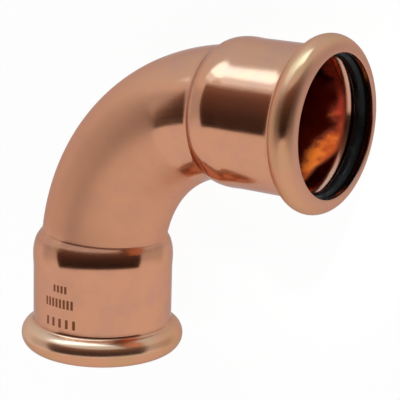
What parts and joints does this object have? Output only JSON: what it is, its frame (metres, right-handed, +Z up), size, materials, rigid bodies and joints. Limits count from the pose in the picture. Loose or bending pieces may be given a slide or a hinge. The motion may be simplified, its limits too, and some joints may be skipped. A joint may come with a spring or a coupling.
{
  "type": "press fit elbow",
  "caption": "One-piece copper 90 degree press elbow for 28 mm pipe, with a socket at each end whose rolled bead holds a rubber sealing ring.",
  "frame": {"origin": "on the floor, under the middle of the box round the fitting as it lies at rest", "axes": "+Z up from the floor; the right leg points towards +X and the left leg towards -Y, both rising 7.2 degrees towards their mouths"},
  "size_m": [0.0792, 0.0792, 0.0365],
  "materials": {
    "copper": "satin, drawn copper",
    "seal_rubber": "smooth black EPDM, slightly greased"
  },
  "bodies": {
    "root": {"elbow_body": "copper", "seal_ring_left": "seal_rubber", "seal_ring_right": "seal_rubber"}
  },
  "joints": []
}
